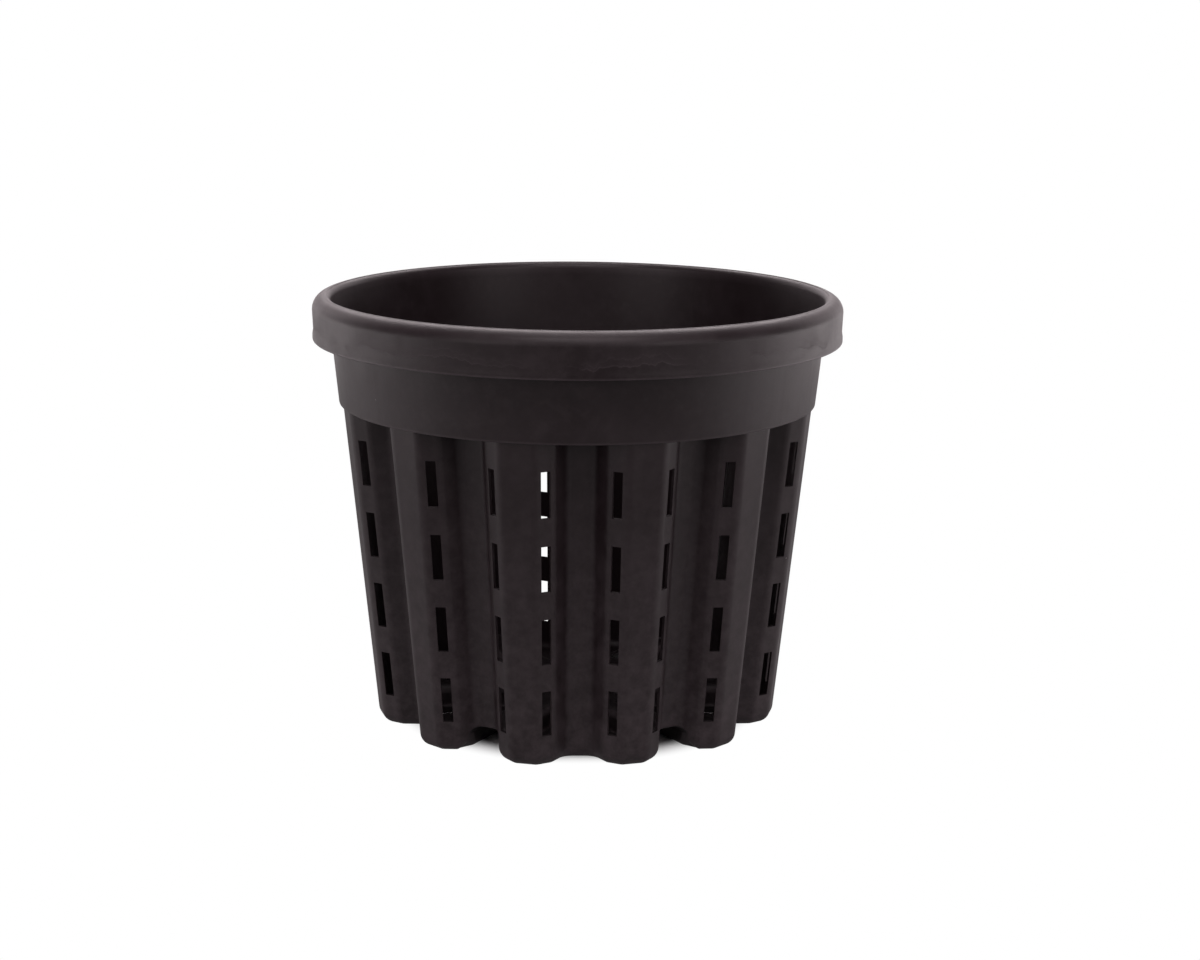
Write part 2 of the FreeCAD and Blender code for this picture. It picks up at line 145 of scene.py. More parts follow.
class PotSizes(bpy.types.PropertyGroup):
    """Sizes of the moulding."""

    pot_height: length("Pot height", "Height of the whole pot", CAD_BOX[1][2])
    lip_radius: length("Lip radius", "Outer radius of the lip", CAD_BOX[1][0])
    lip_height: length("Lip height", "How far the lip hangs down", 0.0262)
    lip_crest: length("Lip crest", "Radius of the lip's rounded top", 0.0084)
    lip_wall: length("Lip wall", "Thickness of the lip", 0.0022)
    lip_bead: length("Lip bead", "How far the bead at the lip's lower edge stands out", 0.0005)
    bead_height: length("Bead height", "Height of the bead at the lip's lower edge", 0.003)
    mouth_edge: length("Mouth edge", "Rounding of the mouth's inner edge", 0.0040)
    wall: length("Band wall", "Thickness of the band", 0.0024)
    fold_wall: length("Folded wall", "Thickness of the folded wall and the base", 0.0016)
    band_top: length("Band top radius", "Outer radius of the band at the rim", 0.15125)
    band_foot: length("Band foot radius", "Outer radius of the band at the ledge", 0.1447)
    ledge_height: length("Ledge height", "Height of the ledge under the band", 0.195)
    ledge_edge: length("Ledge edge", "Rounding of the ledge's outer edge", 0.0008)
    lobe_count: IntProperty(name="Lobes", description="Number of lobes in the wall", default=12, min=6)
    flank_angle: turn("Flank angle", "Turn of a flank from its lobe's middle", 42)
    side_angle: turn("Side angle", "Turn of a side from its lobe's middle", 73)
    crown_foot: length("Crown at foot", "Distance of a crown from the axis at the foot", 0.1234)
    crown_ledge: length("Crown at ledge", "Distance of a crown from the axis at the ledge", 0.1428)
    flank_foot: length("Flank at foot", "Distance of a flank from the axis at the foot", 0.0970)
    flank_ledge: length("Flank at ledge", "Distance of a flank from the axis at the ledge", 0.1134)
    side_foot: length("Side at foot", "Distance of a side from the axis at the foot", 0.0499)
    side_ledge: length("Side at ledge", "Distance of a side from the axis at the ledge", 0.0588)
    valley_foot: length("Valley at foot", "Distance of a valley from the axis at the foot", 0.1052)
    valley_ledge: length("Valley at ledge", "Distance of a valley from the axis at the ledge", 0.1238)
    shoulder_radius: length("Shoulder radius", "Rounding between crown and flank", 0.0075)
    bend_radius: length("Bend radius", "Rounding between flank and side", 0.008)
    corner_radius: length("Corner radius", "Rounding between side and valley", 0.006)
    foot_round: length("Foot rounding", "Rounding all round the feet", 0.0070)
    arch_edge: length("Arch edge", "Rounding of the wall's edge over a channel", 0.0012)
    slot_aside_foot: length("Slot aside at foot", "A slot's distance from its lobe's middle", 0.0127)
    slot_aside_ledge: length("Slot aside at ledge", "That distance at the ledge", 0.0161)
    slot_width: length("Slot width", "Width of an air slot", 0.006)
    slot_height: length("Slot height", "Height of an air slot", 0.02741)
    slot_bottom: length("Slot bottom", "Height of the lowest slots' lower ends", 0.01935)
    slot_pitch: length("Slot pitch", "Distance from one row of slots to the next", 0.04385)
    slot_tilt: length("Slot tilt", "How much higher a slot's end is inside than outside", 0.0002)
    slot_rows: IntProperty(name="Slot rows", description="Rows of air slots", default=4, min=1)
    channel_half_width: length("Channel half width", "Half of a channel's width", 0.0105)
    channel_height: length("Channel height", "Height of a channel's roof", 0.0147)
    channel_crest: length("Channel crest", "Rounding beside a channel's roof", 0.0065)
    channel_skirt: length("Channel skirt", "Rounding where a channel's side meets the feet", 0.0054)
    channel_flare: length("Channel flare", "Radius where a channel starts to flare", 0.1015)
    hub_radius: length("Hub radius", "Radius of the recess in the middle of the base", 0.030)
    drain_half_width: length("Drain half width", "Half the width of the base's openings", 0.003)
    foot_drain_near: length("Foot drain start", "Where the openings in the feet start", 0.079)
    foot_drain_far: length("Foot drain end", "Where the openings in the feet end", 0.105)
    floor_drain_near: length("Floor drain start", "Where the openings between channels start", 0.049)
    floor_drain_far: length("Floor drain end", "Where the openings between channels end", 0.071)
    roof_drain_near: length("Roof drain start", "Where the openings in the channels' roofs start", 0.051)
    roof_drain_far: length("Roof drain end", "Where the openings in the channels' roofs end", 0.081)
    hub_hole_radius: length("Hub hole radius", "Radius of the hole in the middle", 0.006)


class PotFinish(bpy.types.PropertyGroup):
    """Colours and wear of the plastic, and its painted shade."""

    plastic: tint("Plastic", "Colour of the clean plastic", (0.0135, 0.0064, 0.0082))
    dust: tint("Dust", "Colour of dust and rubbed places", (0.078, 0.061, 0.068))
    specks: tint("Specks", "Colour of the tiny specks", (0.50, 0.48, 0.46))
    # Painted shade: plastic darker than the clean colour, laid in the slots, on faces that look up below
    # the ledge and low on the inside wall, where shade falls
    painted_shade: tint("Painted shade", "Clean plastic in the slots and deep inside", (0.0070, 0.0044, 0.0052))
    roughness: fraction("Roughness", "Roughness of the clean plastic", 0.42)


class StageSettings(bpy.types.PropertyGroup):
    """Floor, lights and camera."""

    floor_reach: length("Floor reach", "How far the floor reaches from the pot", 6.0)
    floor_gap: length("Floor gap", "How far the floor lies under the pot's feet", 0.0003)
    # Floor near and floor far paint a pool of light on the floor for what the pot reflects and for
    # bounced light: bright close by, dim further off
    floor_near: tint("Floor near", "The floor's colour to the pot, close by", (0.50, 0.50, 0.50))
    floor_far: tint("Floor far", "The floor's colour to the pot, further off", (0.08, 0.08, 0.08))
    floor_shine: fraction("Floor shine", "How white the floor is in what shines", 0.16)
    pool_full: length("Pool of light", "How far the bright part of the floor reaches", 0.25)
    pool_end: length("End of the pool", "Where the floor is at its dimmest", 0.60)
    shadow_full: length("Full shadow", "How far from the axis the floor keeps its whole shadow", 0.088)
    shadow_end: length("End of shadow", "Where the floor is seen as plain white", 0.114)
    lamp_colour: tint("Lamp colour", "The slightly rosy colour of the light", (1.0, 0.905, 0.925))
    room_light: FloatProperty(name="Room light", description="Even light from all sides",
                              default=0.03, min=0.0)
    backdrop_start: fraction("Backdrop start", "Where the backdrop starts beside the pot", 0.15, -1.0)
    backdrop_full: fraction("Backdrop full", "Where the backdrop is quite white", 0.65, -1.0)
    camera_distance: length("Camera distance", "Level distance from axis to camera", 1.3733)
    camera_height: length("Camera height", "Height of the camera over the floor", 0.4476)
    camera_around: turn("Camera around", "Turn of the camera about the pot's axis", -1.153)
    camera_dip: turn("Camera dip", "How far the camera looks down", 12.470)
    camera_yaw: turn("Camera yaw", "How far the camera looks aside", 0.593)
    camera_roll: turn("Camera roll", "Turn of the camera about its line of sight", 0.495)
    camera_lens: FloatProperty(name="Lens", description="Focal length", default=68.502, unit="CAMERA")


# Each lamp's name, place, width and height, and power in watts, and where they all look
LAMPS = (
    ("overhead", (0.0, 0.0, 1.6), (0.7, 0.7), 3.0),
    ("front_high", (0.0, -1.3, 1.9), (1.4, 0.8), 10.0),
    ("front_middle", (0.0, -1.9, 1.1), (1.4, 0.6), 1.0),
    ("rear_high", (0.0, 1.4, 1.5), (1.6, 0.8), 20.5),
    ("left_front", (-1.2, -1.5, 0.7), (0.8, 0.8), 3.8),
    ("right_front", (1.2, -1.5, 0.7), (0.8, 0.8), 4.0),
    ("left_panel", (-0.9, 0.0, 0.13), (1.0, 0.24), 1.5),
    ("right_panel", (0.9, 0.0, 0.13), (1.0, 0.24), 1.9),
    ("left_rear_panel", (-0.75, 0.75, 0.13), (1.0, 0.24), 0.72),
    ("right_rear_panel", (0.75, 0.75, 0.13), (1.0, 0.24), 0.85),
)
LIT_PLACE = Vector((0.0, 0.0, 0.12))


def facing(angle):
    """The flat direction at an angle."""
    return Vector((math.cos(angle), math.sin(angle)))


def meeting(angle, reach, other_angle, other_reach):
    """Where two lines meet, given by their normals' angles and their distances from the axis."""
    spread = math.sin(other_angle - angle)
    across = reach * math.sin(other_angle) - other_reach * math.sin(angle)
    up = other_reach * math.cos(angle) - reach * math.cos(other_angle)
    return Vector((across / spread, up / spread))


def arc(centre, radius, start, end, steps):
    """Places on an arc with their outward directions. A hollow arc has a negative radius."""
    angles = [start + (end - start) * step / steps for step in range(steps + 1)]
    return [(centre + facing(angle) * radius, facing(angle)) for angle in angles]


class Skin:
    """One side of the moulding's wall: how far in it lies, and the heights and widths of its base."""

    def __init__(self, sizes, inset, slot_rise):
        self.inset = inset
        self.floor = inset
        self.roof = sizes.channel_height + inset
        self.crest = sizes.channel_crest + inset
        self.half_width = sizes.channel_half_width + inset
        self.roof_half = sizes.channel_half_width - sizes.channel_crest
        self.skirt = sizes.channel_skirt - inset
        self.hub = sizes.hub_radius + inset
        self.foot_round = sizes.foot_round - inset
        self.arch_edge = sizes.arch_edge
        self.ledge = sizes.ledge_height + inset
        self.side_lines = [self.half_width + beyond for beyond in SIDE_LINES]
        self.levels = []
        for row in range(sizes.slot_rows):
            bottom = sizes.slot_bottom + row * sizes.slot_pitch + slot_rise
            self.levels += [bottom, bottom + sizes.slot_height]
        self.levels.append(self.ledge)

    def arch(self, aside):
        """Height of the channel's surface, or of the floor, at a distance from the channel's middle."""
        if aside <= self.roof_half:
            return self.roof
        if aside < self.half_width:
            return self.roof - self.crest + math.sqrt(self.crest ** 2 - (aside - self.roof_half) ** 2)
        over = self.half_width + self.skirt - aside
        if over <= WELD * 3:
            return self.floor
        return self.floor + self.skirt - math.sqrt(self.skirt ** 2 - over ** 2)

    def rounding(self, height):
        """Radius of the wall's lower edge where that edge is at a height."""
        share = 1 - (height - self.floor) / (self.roof - self.crest - self.floor)
        return self.arch_edge + (self.foot_round - self.arch_edge) * max(share, 0.0)


def half_lobe(sizes, skin, height):
    """Places and outward directions round half a lobe, from its crown's middle to the valley's."""
    rise = height / sizes.ledge_height

    def reach(foot, ledge):
        return foot + (ledge - foot) * rise - skin.inset

    crown = reach(sizes.crown_foot, sizes.crown_ledge)
    flank = reach(sizes.flank_foot, sizes.flank_ledge)
    side = reach(sizes.side_foot, sizes.side_ledge)
    valley = reach(sizes.valley_foot, sizes.valley_ledge)
    half_pitch = math.pi / sizes.lobe_count
    shoulder_radius = sizes.shoulder_radius - skin.inset
    bend_radius = sizes.bend_radius - skin.inset
    corner_radius = sizes.corner_radius + skin.inset
    shoulder = meeting(0.0, crown - shoulder_radius, sizes.flank_angle, flank - shoulder_radius)
    bend = meeting(sizes.flank_angle, flank - bend_radius, sizes.side_angle, side - bend_radius)
    corner = meeting(sizes.side_angle, side + corner_radius, half_pitch, valley + corner_radius)

    places = [(Vector((crown, shoulder.y * share)), facing(0.0)) for share in (0.0, 0.5)]
    places += arc(shoulder, shoulder_radius, 0.0, sizes.flank_angle, SHOULDER_STEPS)
    along = facing(sizes.flank_angle + math.pi / 2)
    aside = sizes.slot_aside_foot + (sizes.slot_aside_ledge - sizes.slot_aside_foot) * rise
    outer_flank = flank + skin.inset
    middle = (aside - outer_flank * math.sin(sizes.flank_angle)) / math.cos(sizes.flank_angle)
    for edge in (-0.5, 0.5):
        place = facing(sizes.flank_angle) * flank + along * (middle + edge * sizes.slot_width)
        places.append((place, facing(sizes.flank_angle)))
    places += arc(bend, bend_radius, sizes.flank_angle, sizes.side_angle, BEND_STEPS)
    across_valley = half_pitch + math.pi / 2
    for distance in skin.side_lines:
        place = meeting(sizes.side_angle, side, across_valley, -distance)
        places.append((place, facing(sizes.side_angle)))
    places += arc(corner, -corner_radius, sizes.side_angle, half_pitch, CORNER_STEPS)
    for distance in (sizes.drain_half_width, 0.0):
        place = facing(half_pitch) * valley - facing(across_valley) * distance
        places.append((place, facing(half_pitch)))
    return places


# Which of a half lobe's places is the slots' side nearer the crown: after two on the crown and its arc
SLOT_STATION = 2 + SHOULDER_STEPS + 1


def sector_columns(sizes, skin, height):
    """Places round one twelfth of the pot, from the middle of a channel's valley to the next."""
    half = half_lobe(sizes, skin, height)
    turned = Matrix.Rotation(math.pi / sizes.lobe_count, 2)
    flipped = [(turned @ Vector((p.x, -p.y)), turned @ Vector((n.x, -n.y)))
               for p, n in reversed(half)]
    return flipped + [(turned @ p, turned @ n) for p, n in half[1:]]


def foot_of(sizes, skin, column, count):
    """Height of the wall's lower edge at a column, and how far that is from the channel's middle."""
    height = skin.floor
    for _ in range(ARCH_SETTLING):
        aside = sector_columns(sizes, skin, height)[column][0].y
        if column <= count // 2:
            height = skin.arch(aside)
    return height, aside


def wall_rows(sizes, skin):
    """Places of the folded wall, row by row from its foot to the ledge, and what foot_of gives."""
    count = len(sector_columns(sizes, skin, 0.0))
    feet = [foot_of(sizes, skin, column, count) for column in range(count)]
    rows = []
    for step in range(FOOT_STEPS + 1):
        angle = math.pi / 2 * (1 - step / FOOT_STEPS)
        row = []
        for column, (foot, _) in enumerate(feet):
            radius = skin.rounding(foot)
            height = foot + radius * (1 - math.sin(angle))
            place, outward = sector_columns(sizes, skin, height)[column]
            flat = place - outward * radius * (1 - math.cos(angle))
            row.append(Vector((flat.x, flat.y, height)))
        rows.append(row)
    for height in skin.levels:
        rows.append([Vector((p.x, p.y, height)) for p, _ in sector_columns(sizes, skin, height)])
    return rows, feet


def rim_profile(sizes, outer, inner):
    """Radii and heights from the ledge's underside, over band and lip, to the ledge inside the pot."""
    def on_band(height):
        share = (height - sizes.ledge_height) / (sizes.pot_height - sizes.ledge_height)
        return sizes.band_foot + (sizes.band_top - sizes.band_foot) * share

    def bent(centre, radius, start, end, steps):
        turned = arc(Vector(centre), radius, math.radians(start), math.radians(end), steps)
        return [tuple(place) for place, _ in turned]

    roof = sizes.pot_height - sizes.lip_wall
    crest = (sizes.lip_radius - sizes.lip_crest, sizes.pot_height - sizes.lip_crest)
    lip_foot = sizes.pot_height - sizes.lip_height
    lip_inside = sizes.lip_radius - sizes.lip_wall - sizes.lip_bead
    edge = sizes.ledge_edge
    small = sizes.lip_bead
    mouth = on_band(sizes.pot_height) - sizes.wall
    turn_in = sizes.mouth_edge
    return [
        *bent((sizes.band_foot - edge, outer.ledge + edge), edge, -90, 0, EDGE_STEPS),
        (on_band(roof), roof),
        *bent(crest, sizes.lip_crest - sizes.lip_wall, 90, 0, GAP_STEPS),
        (lip_inside, lip_foot),
        *bent((sizes.lip_radius - small, lip_foot + small), small, -90, 0, EDGE_STEPS),
        (sizes.lip_radius, lip_foot + sizes.bead_height),
        (sizes.lip_radius - sizes.lip_bead, lip_foot + 2 * sizes.bead_height),
        *bent(crest, sizes.lip_crest, 0, 90, CREST_STEPS),
        *bent((mouth + turn_in, sizes.pot_height - turn_in), turn_in, 90, 180, MOUTH_STEPS),
        (on_band(inner.ledge) - sizes.wall, inner.ledge),
    ]


def filled(mesh, loops, holes=()):
    """Flat faces inside closed loops of vertices at one height, leaving out four-cornered holes."""
    flat = []
    borders = []
    for loop in loops:
        start = len(flat)
        flat += loop
        borders += [(start + i, start + (i + 1) % len(loop)) for i in range(len(loop))]
    spots = [vertex.co.to_2d() for vertex in flat]
    _, _, faces, origins, _, _ = delaunay_2d_cdt(spots, borders, [], 1, NEAR)
    for face in faces:
        corners = [flat[origins[index][0]] for index in face]
        middle = sum((vertex.co.to_2d() for vertex in corners), Vector((0.0, 0.0))) / len(corners)
        if not any(inside(middle, hole) for hole in holes):
            mesh.faces.new(corners)


def inside(spot, corners):
    """Whether a spot lies inside a four-cornered hole."""
    signs = []
    for index, corner in enumerate(corners):
        following = corners[(index + 1) % len(corners)]
        edge = following - corner
        signs.append(edge.x * (spot.y - corner.y) - edge.y * (spot.x - corner.x) > 0)
    return all(signs) or not any(signs)


def drain_corners(near, far, half_width, angle):
    """The four corners of a radial opening."""
    out = facing(angle)
    aside = facing(angle + math.pi / 2) * half_width
    return [out * near - aside, out * near + aside, out * far + aside, out * far - aside]


def base_of(mesh, sizes, skin, feet, profile):
    """One skin of the base inside the wall's feet. Gives the borders of its openings."""
    def point(flat, height):
        return mesh.verts.new((flat[0], flat[1], height))

    half_pitch = math.pi / sizes.lobe_count
    sector = 2 * half_pitch
    last = next(i for i, (height, _) in enumerate(profile) if height < skin.floor + WELD)
    lines = []
    for vertex, (height, aside) in zip(feet[:last + 1], profile):
        line = [vertex]
        for out in (sizes.channel_flare, sizes.roof_drain_far, sizes.roof_drain_near):
            line.append(point((out, aside), height))
        beside = aside - max(aside - skin.half_width, 0.0) * HUB_NARROWING
        line.append(point((math.sqrt(skin.hub ** 2 - beside ** 2), beside), height))
        lines.append(line)
    for column, (one, other) in enumerate(zip(lines, lines[1:])):
        for part in range(4):
            if column == 0 and part == 2:
                continue
            mesh.faces.new((one[part], other[part], other[part + 1], one[part + 1]))
    roof_drain = [lines[0][3], lines[1][3], lines[1][2], lines[0][2]]

    # The hub's side, from the channel to the middle between two channels
    low = [line[-1] for line in lines]
    start = math.atan2(low[-1].co.y, low[-1].co.x)
    for share in (0.5, 1.0):
        low.append(point(facing(start + (sector - start) * share) * skin.hub, skin.floor))
    high = [vertex if vertex.co.z > skin.roof - WELD else point(vertex.co, skin.roof)
            for vertex in low]
    for index in range(len(low) - 1):
        ring = [low[index], low[index + 1], high[index + 1], high[index]]
        corners = list(dict.fromkeys(ring))
        if len(corners) > 2:
            mesh.faces.new(corners)
    angles = [sector * step / HUB_HOLE_STEPS for step in range(HUB_HOLE_STEPS + 1)]
    hub_hole = [point(facing(angle) * sizes.hub_hole_radius, skin.roof) for angle in angles]
    filled(mesh, [high + hub_hole[::-1]])

    # The floor between two channels, with an opening in the lobe's foot and one on the sector's edge
    half_width = sizes.drain_half_width
    spots = drain_corners(sizes.floor_drain_near, sizes.floor_drain_far, half_width, sector)
    out = facing(sector)
    edge = [out * sizes.floor_drain_near, spots[0], spots[3], out * sizes.floor_drain_far]
    floor_drain = [point(spot, skin.floor) for spot in edge]
    spots = drain_corners(sizes.foot_drain_near, sizes.foot_drain_far, half_width, half_pitch)
    foot_drain = [point(spot, skin.floor) for spot in spots]
    outline = [*lines[-1][::-1][:-1], *feet[last:], *floor_drain[::-1], *low[:len(lines) - 1:-1]]
    filled(mesh, [outline, foot_drain], [spots])
    return [roof_drain, floor_drain, foot_drain + foot_drain[:1], hub_hole]


def sector_mesh(sizes):
    """One twelfth of the moulding, from the middle of a channel's valley to the middle of the next."""
    mesh = bmesh.new()
    outer = Skin(sizes, 0.0, 0.0)
    inner = Skin(sizes, sizes.fold_wall, sizes.slot_tilt)
    outside, outer_profile = wall_rows(sizes, outer)
    inside_wall, inner_profile = wall_rows(sizes, inner)
    angles = [math.atan2(place.y, place.x) for place in outside[-1]]
    rim = [[Vector((radius * math.cos(a), radius * math.sin(a), height)) for a in angles]
           for radius, height in rim_profile(sizes, outer, inner)]
    grid = [[mesh.verts.new(place) for place in row] for row in outside + rim + inside_wall[::-1]]

    # Slots stand between every second pair of the wall's rows, on both flanks
    middle = len(angles) // 2
    flanks = (middle - SLOT_STATION - 1, middle + SLOT_STATION)
    first = FOOT_STEPS + 1
    bottoms = [first + 2 * row for row in range(sizes.slot_rows)]
    last_row = len(grid) - 1
    openings = {(row, flank) for row in bottoms for flank in flanks}
    openings |= {(last_row - 1 - row, flank) for row, flank in openings}
    for row in range(last_row):
        for column in range(len(angles) - 1):
            if (row, column) in openings:
                continue
            mesh.faces.new((grid[row][column], grid[row][column + 1],
                            grid[row + 1][column + 1], grid[row + 1][column]))
    for row in bottoms:
        for flank in flanks:
            around = [(row, flank), (row, flank + 1), (row + 1, flank + 1), (row + 1, flank)]
            outline = [grid[r][c] for r, c in around]
            behind = [grid[last_row - r][c] for r, c in around]
            joined(mesh, outline + outline[:1], behind + behind[:1])

    outer_borders = base_of(mesh, sizes, outer, grid[0], outer_profile)
    inner_borders = base_of(mesh, sizes, inner, grid[-1], inner_profile)
    for border, behind in zip(outer_borders, inner_borders):
        joined(mesh, border, behind)
    result = bpy.data.meshes.new("pot_sector")
    mesh.to_mesh(result)
    mesh.free()
    return result


def joined(mesh, border, behind):
    """The wall's thickness at an opening, between matching borders of its two skins."""
    for index in range(len(border) - 1):
        mesh.faces.new((border[index], border[index + 1], behind[index + 1], behind[index]))


def node(tree, kind, place=(0, 0), **settings):
    """A node with its settings."""
    made = tree.nodes.new(kind)
    made.location = place
    for name, value in settings.items():
        setattr(made, name, value)
    return made


def repeat_tree(material):
    """A Geometry Nodes tree that mirrors a twelfth of the pot, repeats it all round and welds it."""
    tree = bpy.data.node_groups.new("pot_all_round", "GeometryNodeTree")
    sockets = tree.interface
    sockets.new_socket("Sector", in_out="INPUT", socket_type="NodeSocketGeometry")
    count = sockets.new_socket("Sector Pairs", in_out="INPUT", socket_type="NodeSocketInt")
    weld = sockets.new_socket("Weld Distance", in_out="INPUT", socket_type="NodeSocketFloat")
    sockets.new_socket("Pot", in_out="OUTPUT", socket_type="NodeSocketGeometry")
    link = tree.links.new
    given = node(tree, "NodeGroupInput", (-900, 0))
    mirrored = node(tree, "GeometryNodeTransform", (-700, 150))
    mirrored.inputs["Scale"].default_value = (1, -1, 1)
    flipped = node(tree, "GeometryNodeFlipFaces", (-500, 150))
    pair = node(tree, "GeometryNodeJoinGeometry", (-300, 80))
    link(given.outputs["Sector"], mirrored.inputs["Geometry"])
    link(mirrored.outputs["Geometry"], flipped.inputs["Mesh"])
    link(flipped.outputs["Mesh"], pair.inputs["Geometry"])
    link(given.outputs["Sector"], pair.inputs["Geometry"])

    points = node(tree, "GeometryNodePoints", (-300, -150))
    index = node(tree, "GeometryNodeInputIndex", (-900, -400))
    step = node(tree, "ShaderNodeMath", (-700, -300), operation="DIVIDE")
    step.inputs[0].default_value = 2 * math.pi
    angle = node(tree, "ShaderNodeMath", (-500, -350), operation="MULTIPLY")
    euler = node(tree, "ShaderNodeCombineXYZ", (-300, -350))
    rotation = node(tree, "FunctionNodeEulerToRotation", (-100, -350))
    copies = node(tree, "GeometryNodeInstanceOnPoints", (-50, 0))
    link(given.outputs["Sector Pairs"], points.inputs["Count"])
    link(given.outputs["Sector Pairs"], step.inputs[1])
    link(step.outputs[0], angle.inputs[0])
    link(index.outputs[0], angle.inputs[1])
    link(angle.outputs[0], euler.inputs["Z"])
    link(euler.outputs[0], rotation.inputs[0])
    link(points.outputs[0], copies.inputs["Points"])
    link(pair.outputs[0], copies.inputs["Instance"])
    link(rotation.outputs[0], copies.inputs["Rotation"])

    real = node(tree, "GeometryNodeRealizeInstances", (150, 0))
    welded = node(tree, "GeometryNodeMergeByDistance", (350, 0))
    smooth = node(tree, "GeometryNodeSetShadeSmooth", (550, 0))
    finish = node(tree, "GeometryNodeSetMaterial", (750, 0))
    finish.inputs["Material"].default_value = material
    result = node(tree, "NodeGroupOutput", (950, 0))
    link(copies.outputs[0], real.inputs[0])
    link(real.outputs[0], welded.inputs["Geometry"])
    link(given.outputs["Weld Distance"], welded.inputs["Distance"])
    link(welded.outputs[0], smooth.inputs[0])
    link(smooth.outputs[0], finish.inputs["Geometry"])
    link(finish.outputs[0], result.inputs["Pot"])
    return tree, count.identifier, weld.identifier


def plain_mesh(source, name):
    """The evaluated shape of an object as a plain mesh with its faces outwards."""
    graph = bpy.context.evaluated_depsgraph_get()
    result = bpy.data.meshes.new_from_object(source.evaluated_get(graph), depsgraph=graph)
    result.name = name
    mesh = bmesh.new()
    mesh.from_mesh(result)
    bmesh.ops.recalc_face_normals(mesh, faces=mesh.faces[:])
    if mesh.calc_volume(signed=True) < 0:
        bmesh.ops.reverse_faces(mesh, faces=mesh.faces[:])
    open_edges = sum(1 for edge in mesh.edges if not edge.is_manifold)
    if open_edges:
        raise RuntimeError(f"{name} has {open_edges} edges that aren't closed")
    mesh.to_mesh(result)
    mesh.free()
    result.set_sharp_from_angle(angle=SHARP_ANGLE)
    return result


def sum_of(tree, operation, *values, clamp=False):
    """The output of a math node that takes sockets and plain numbers."""
    made = node(tree, "ShaderNodeMath", operation=operation, use_clamp=clamp)
    for index, value in enumerate(values):
        if isinstance(value, (int, float)):
            made.inputs[index].default_value = value
        else:
            tree.links.new(value, made.inputs[index])
    return made.outputs[0]


def layered(tree, total, layers):
    """Adds masks to a total, each with its share."""
    for mask, share in layers:
        total = sum_of(tree, "MULTIPLY_ADD", mask, share, total)
    return total


def noise(tree, place, scale, detail, roughness=0.5):
    """The strength of a noise pattern, with its scale in patches to the metre."""
    made = node(tree, "ShaderNodeTexNoise")
    made.inputs["Scale"].default_value = scale
    made.inputs["Detail"].default_value = detail
    made.inputs["Roughness"].default_value = roughness
    tree.links.new(place, made.inputs["Vector"])
    return made.outputs["Fac"]


def ramp(tree, value, low, high):
    """Turns a range of a value into 0 to 1."""
    made = node(tree, "ShaderNodeMapRange", interpolation_type="SMOOTHSTEP")
    for name, limit in (("From Min", low), ("From Max", high)):
        if isinstance(limit, (int, float)):
            made.inputs[name].default_value = limit
        else:
            tree.links.new(limit, made.inputs[name])
    tree.links.new(value, made.inputs["Value"])
    return made.outputs[0]


def pattern_group(name, output, inputs, draw):
    """A node group that turns a place on the pot into one mask or height."""
    tree = bpy.data.node_groups.new(name, "ShaderNodeTree")
    tree.interface.new_socket("Place", in_out="INPUT", socket_type="NodeSocketVector")
    for label, default in inputs:
        socket = tree.interface.new_socket(label, in_out="INPUT", socket_type="NodeSocketFloat")
        socket.default_value = default
    tree.interface.new_socket(output, in_out="OUTPUT", socket_type="NodeSocketFloat")
    given = node(tree, "NodeGroupInput", (-1200, 0))
    result = node(tree, "NodeGroupOutput", (600, 0))
    tree.links.new(draw(tree, given.outputs), result.inputs[0])
    return tree


def draw_grain(tree, given):
    """Fine moulded grain over a slower ripple of the mould."""
    fine = noise(tree, given["Place"], scale=2200, detail=2)
    coarse = noise(tree, given["Place"], scale=520, detail=3)
    ripple = noise(tree, given["Place"], scale=45, detail=1)
    mixed_grain = sum_of(tree, "MULTIPLY_ADD", coarse, given["Coarse"], fine)
    return sum_of(tree, "MULTIPLY_ADD", ripple, given["Ripple"], mixed_grain)


def draw_cloud(tree, given):
    """Soft patches where the plastic is a little paler."""
    broad = noise(tree, given["Place"], scale=26, detail=4, roughness=0.6)
    return ramp(tree, broad, 0.38, 0.72)


def draw_smudges(tree, given):
    """Dry smudges and worn spots with ragged edges."""
    spots = noise(tree, given["Place"], scale=95, detail=8, roughness=0.72)
    broad = noise(tree, given["Place"], scale=17, detail=2)
    wanted = sum_of(tree, "SUBTRACT", 1.0, given["Amount"])
    share = sum_of(tree, "MULTIPLY", spots, sum_of(tree, "MULTIPLY_ADD", broad, 0.8, 0.6))
    return ramp(tree, share, sum_of(tree, "MULTIPLY", wanted, 0.62), 0.72)


def radius_of(tree, place):
    """A place's distance from the pot's axis and its height."""
    parts = node(tree, "ShaderNodeSeparateXYZ")
    tree.links.new(place, parts.inputs[0])
    across = sum_of(tree, "MULTIPLY", parts.outputs["X"], parts.outputs["X"])
    both = sum_of(tree, "MULTIPLY_ADD", parts.outputs["Y"], parts.outputs["Y"], across)
    return sum_of(tree, "SQRT", both), parts.outputs["Z"]


def draw_level(tree, given):
    """A slightly patchy band round the pot at one height, outside one radius."""
    radius, height = radius_of(tree, given["Place"])
    apart = sum_of(tree, "ABSOLUTE", sum_of(tree, "SUBTRACT", height, given["Level"]))
    near = sum_of(tree, "SUBTRACT", 1.0, sum_of(tree, "DIVIDE", apart, given["Reach"]), clamp=True)
    outside = sum_of(tree, "GREATER_THAN", radius, given["Outside Radius"])
    patches = noise(tree, given["Place"], scale=60, detail=5, roughness=0.65)
    patchy = sum_of(tree, "MULTIPLY_ADD", ramp(tree, patches, 0.3, 0.62), 0.2, 0.8)
    return sum_of(tree, "MULTIPLY", sum_of(tree, "MULTIPLY", near, outside), patchy)


